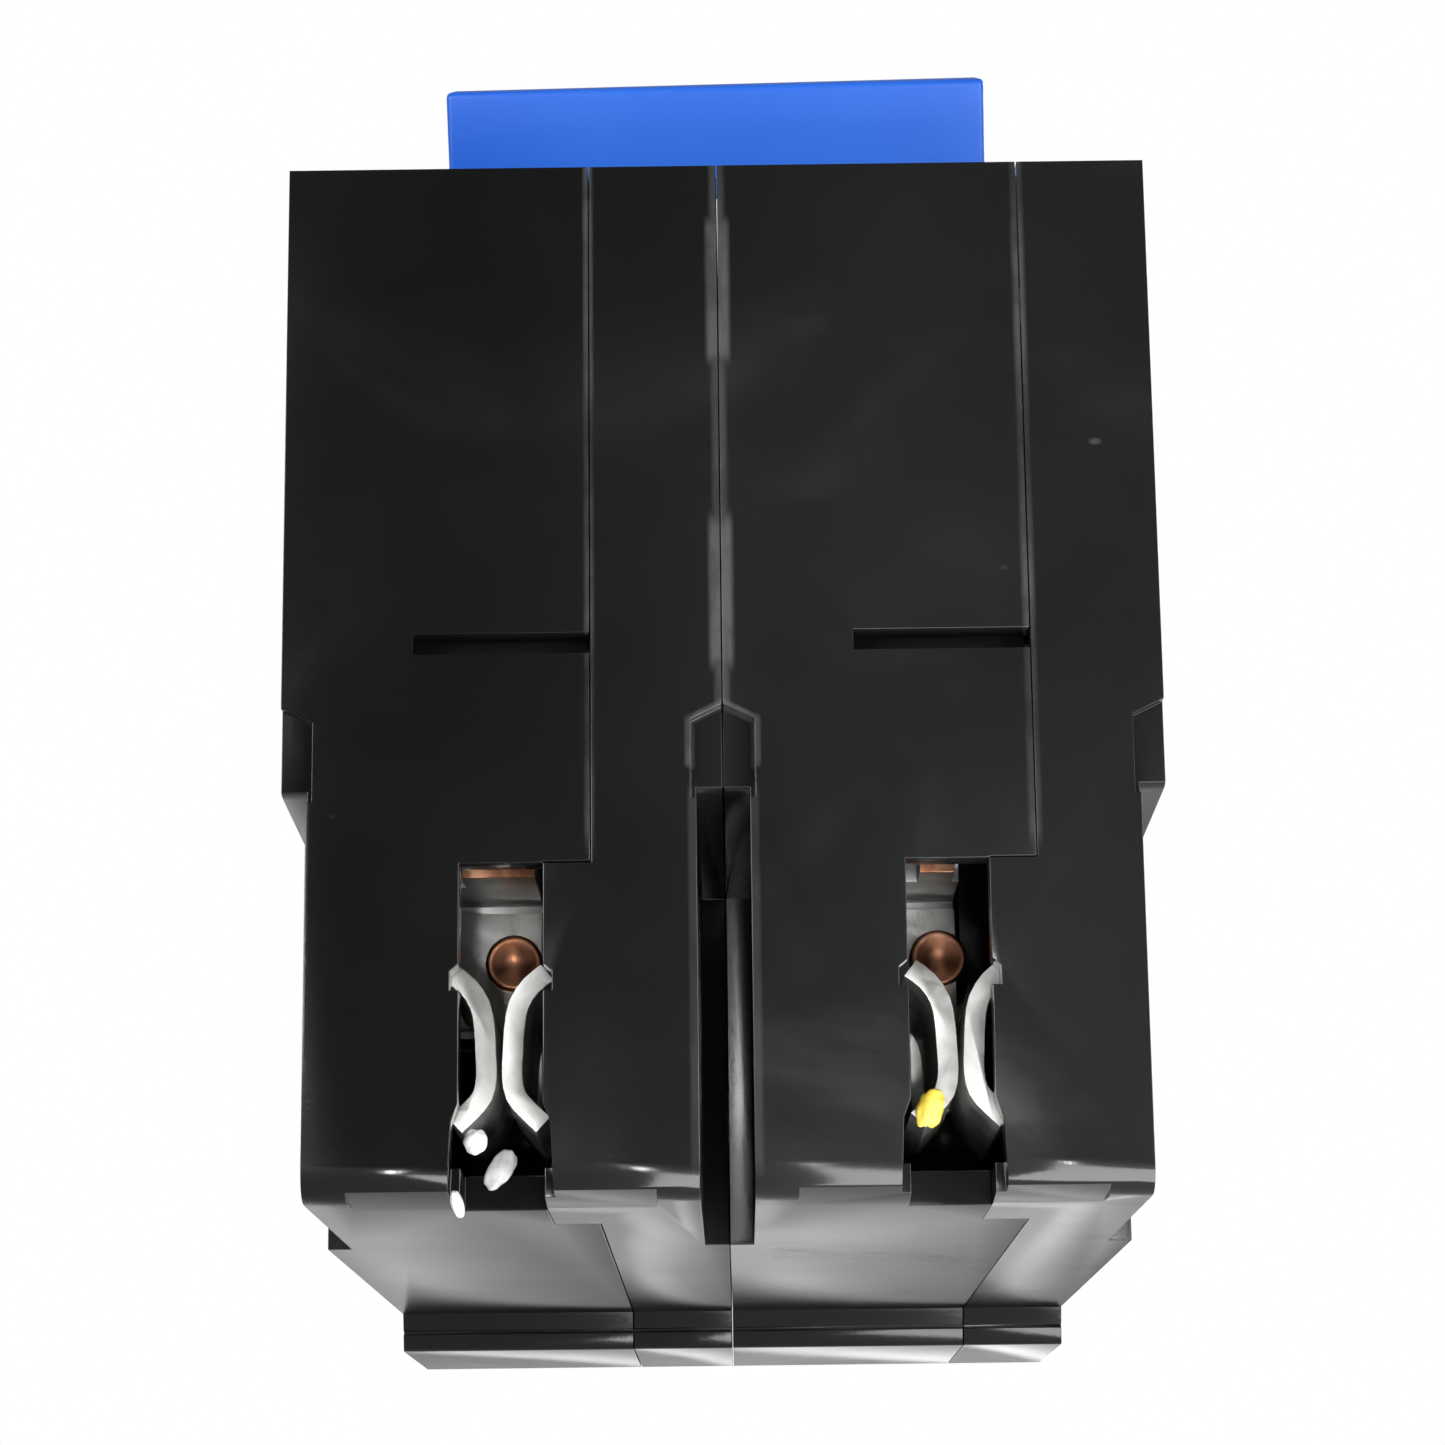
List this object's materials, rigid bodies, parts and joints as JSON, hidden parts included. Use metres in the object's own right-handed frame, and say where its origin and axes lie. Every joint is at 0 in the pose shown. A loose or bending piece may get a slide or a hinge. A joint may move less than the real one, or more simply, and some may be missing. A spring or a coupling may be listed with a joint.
{
  "type": "gfci breaker",
  "caption": "Two-pole plug-on ground-fault circuit breaker: black modular case, spring jaws at the line end, blue tied handle, box lugs at the load end.",
  "frame": {"origin": "centre of the bounding box in plan, at the underside of the load-end foot", "axes": "+X across the two poles, -Y out of the line (jaw) end, +Y out of the load end, +Z towards the handle"},
  "size_m": [0.0508, 0.105, 0.0784],
  "materials": {
    "case_plastic": "black moulded thermoset, slightly glossy",
    "handle_plastic": "blue moulded plastic, satin",
    "button_plastic": "yellow moulded plastic, satin",
    "tinned_copper": "satin tin plate on copper",
    "bare_copper": "bare copper, lightly oxidised",
    "zinc_steel": "zinc-plated steel",
    "contact_silver": "silver contact pad",
    "bimetal": "rolled bimetal strip",
    "board": "green solder mask",
    "core_tape": "taped core",
    "winding": "enamelled winding",
    "bar_plastic": "dark moulded nylon",
    "grommet_rubber": "black rubber",
    "fibre": "dark vulcanised fibre"
  },
  "bodies": {
    "breaker": {"left_case": "case_plastic", "left_cover": "case_plastic", "line_terminal_left": "tinned_copper", "jaw_clip_left": "tinned_copper", "jaw_rivet_left": "bare_copper", "fixed_contact_left": "contact_silver", "arc_chute_left": "zinc_steel", "vent_baffle_left": "fibre", "cradle_spring_left": "zinc_steel", "magnet_yoke_left": "zinc_steel", "bimetal_left": "bimetal", "load_braid_left": "bare_copper", "load_left_lug": "tinned_copper", "right_case": "case_plastic", "right_cover": "case_plastic", "line_terminal_right": "tinned_copper", "jaw_clip_right": "tinned_copper", "jaw_rivet_right": "bare_copper", "fixed_contact_right": "contact_silver", "arc_chute_right": "zinc_steel", "vent_baffle_right": "fibre", "cradle_spring_right": "zinc_steel", "magnet_yoke_right": "zinc_steel", "bimetal_right": "bimetal", "load_braid_right": "bare_copper", "load_right_lug": "tinned_copper", "neutral_lug": "tinned_copper", "test_spring": "zinc_steel", "test_contact": "bare_copper", "sensor_coil": "core_tape", "circuit_board": "board", "solenoid_coil": "winding", "solenoid_frame": "zinc_steel", "plunger_spring": "zinc_steel", "pigtail_grommet": "grommet_rubber", "case_rivet_1": "zinc_steel", "case_rivet_2": "zinc_steel", "case_rivet_3": "zinc_steel", "case_rivet_4": "zinc_steel"},
    "handle": {"handle_left": "handle_plastic", "handle_right": "handle_plastic", "handle_tie": "handle_plastic"},
    "arm_left": {"contact_arm_left": "bare_copper", "moving_contact_left": "contact_silver"},
    "arm_right": {"contact_arm_right": "bare_copper", "moving_contact_right": "contact_silver"},
    "cradle_left_body": {"cradle_left": "zinc_steel"},
    "cradle_right_body": {"cradle_right": "zinc_steel"},
    "armature_left_body": {"armature_left": "zinc_steel"},
    "armature_right_body": {"armature_right": "zinc_steel"},
    "plunger": {"solenoid_plunger": "zinc_steel"},
    "trip_bar_body": {"trip_bar": "bar_plastic"},
    "button": {"test_button": "button_plastic"},
    "load_left_clamp_body": {"load_left_clamp": "zinc_steel"},
    "load_left_screw_body": {"load_left_screw": "zinc_steel"},
    "load_right_clamp_body": {"load_right_clamp": "zinc_steel"},
    "load_right_screw_body": {"load_right_screw": "zinc_steel"},
    "neutral_clamp_body": {"neutral_clamp": "zinc_steel"},
    "neutral_screw_body": {"neutral_screw": "zinc_steel"}
  },
  "joints": [
    {"name": "handle_turn", "type": "hinge", "parent": "breaker", "child": "handle", "pos_m": [0, -0.0225, 0.0533], "axis": [1, 0, 0], "range_deg": [-48, 0]},
    {"name": "plunger_slide", "type": "slide", "parent": "breaker", "child": "plunger", "axis": [0, -1, 0], "range_m": [0, 0.0015], "stiffness_N_per_m": 60, "springref_m": -0.001, "deforming": ["plunger_spring"]},
    {"name": "trip_bar_turn", "type": "hinge", "parent": "breaker", "child": "trip_bar_body", "pos_m": [0, 0.0045, 0.0188], "axis": [1, 0, 0], "range_deg": [-12, 0]},
    {"name": "button_press", "type": "slide", "parent": "breaker", "child": "button", "axis": [0, 0, -1], "range_m": [0, 0.002], "stiffness_N_per_m": 400, "springref_m": -0.001, "deforming": ["test_spring"]},
    {"name": "arm_turn_left", "type": "hinge", "parent": "breaker", "child": "arm_left", "pos_m": [-0.0127, -0.0125, 0.0428], "axis": [1, 0, 0], "range_deg": [-12, 0]},
    {"name": "cradle_turn_left", "type": "hinge", "parent": "breaker", "child": "cradle_left_body", "pos_m": [-0.0063, -0.0035, 0.0528], "axis": [1, 0, 0], "range_deg": [-15, 0], "deforming": ["cradle_spring_left"]},
    {"name": "armature_turn_left", "type": "hinge", "parent": "breaker", "child": "armature_left_body", "pos_m": [-0.0127, 0.0081, 0.0498], "axis": [1, 0, 0], "range_deg": [0, 4]},
    {"name": "arm_turn_right", "type": "hinge", "parent": "breaker", "child": "arm_right", "pos_m": [0.0127, -0.0125, 0.0428], "axis": [1, 0, 0], "range_deg": [-12, 0]},
    {"name": "cradle_turn_right", "type": "hinge", "parent": "breaker", "child": "cradle_right_body", "pos_m": [0.0191, -0.0035, 0.0528], "axis": [1, 0, 0], "range_deg": [-15, 0], "deforming": ["cradle_spring_right"]},
    {"name": "armature_turn_right", "type": "hinge", "parent": "breaker", "child": "armature_right_body", "pos_m": [0.0127, 0.0081, 0.0498], "axis": [1, 0, 0], "range_deg": [0, 4]},
    {"name": "load_left_clamp_slide", "type": "slide", "parent": "breaker", "child": "load_left_clamp_body", "axis": [0, 0, 1], "range_m": [-0.00374, 0]},
    {"name": "load_left_screw_turn", "type": "hinge", "parent": "load_left_clamp_body", "child": "load_left_screw_body", "pos_m": [-0.0127, 0.0435, 0.0478], "axis": [0, 0, 1], "range_deg": [-1080, 0]},
    {"name": "load_right_clamp_slide", "type": "slide", "parent": "breaker", "child": "load_right_clamp_body", "axis": [0, 0, 1], "range_m": [-0.00374, 0]},
    {"name": "load_right_screw_turn", "type": "hinge", "parent": "load_right_clamp_body", "child": "load_right_screw_body", "pos_m": [0.0067, 0.0435, 0.0478], "axis": [0, 0, 1], "range_deg": [-1080, 0]},
    {"name": "neutral_clamp_slide", "type": "slide", "parent": "breaker", "child": "neutral_clamp_body", "axis": [0, 0, 1], "range_m": [-0.00374, 0]},
    {"name": "neutral_screw_turn", "type": "hinge", "parent": "neutral_clamp_body", "child": "neutral_screw_body", "pos_m": [0.0189, 0.0435, 0.0478], "axis": [0, 0, 1], "range_deg": [-1080, 0]}
  ],
  "couplings": [
    {"joint": "trip_bar_turn", "follows": "plunger_slide", "rad_per_m": -139.63},
    {"joint": "arm_turn_left", "follows": "handle_turn", "ratio": 0.25},
    {"joint": "cradle_turn_left", "follows": "plunger_slide", "rad_per_m": -174.53},
    {"joint": "armature_turn_left", "follows": "plunger_slide", "rad_per_m": 46.542},
    {"joint": "arm_turn_right", "follows": "handle_turn", "ratio": 0.25},
    {"joint": "cradle_turn_right", "follows": "plunger_slide", "rad_per_m": -174.53},
    {"joint": "armature_turn_right", "follows": "plunger_slide", "rad_per_m": 46.542},
    {"joint": "load_left_screw_turn", "follows": "load_left_clamp_slide", "rad_per_m": 5026.5},
    {"joint": "load_right_screw_turn", "follows": "load_right_clamp_slide", "rad_per_m": 5026.5},
    {"joint": "neutral_screw_turn", "follows": "neutral_clamp_slide", "rad_per_m": 5026.5}
  ]
}
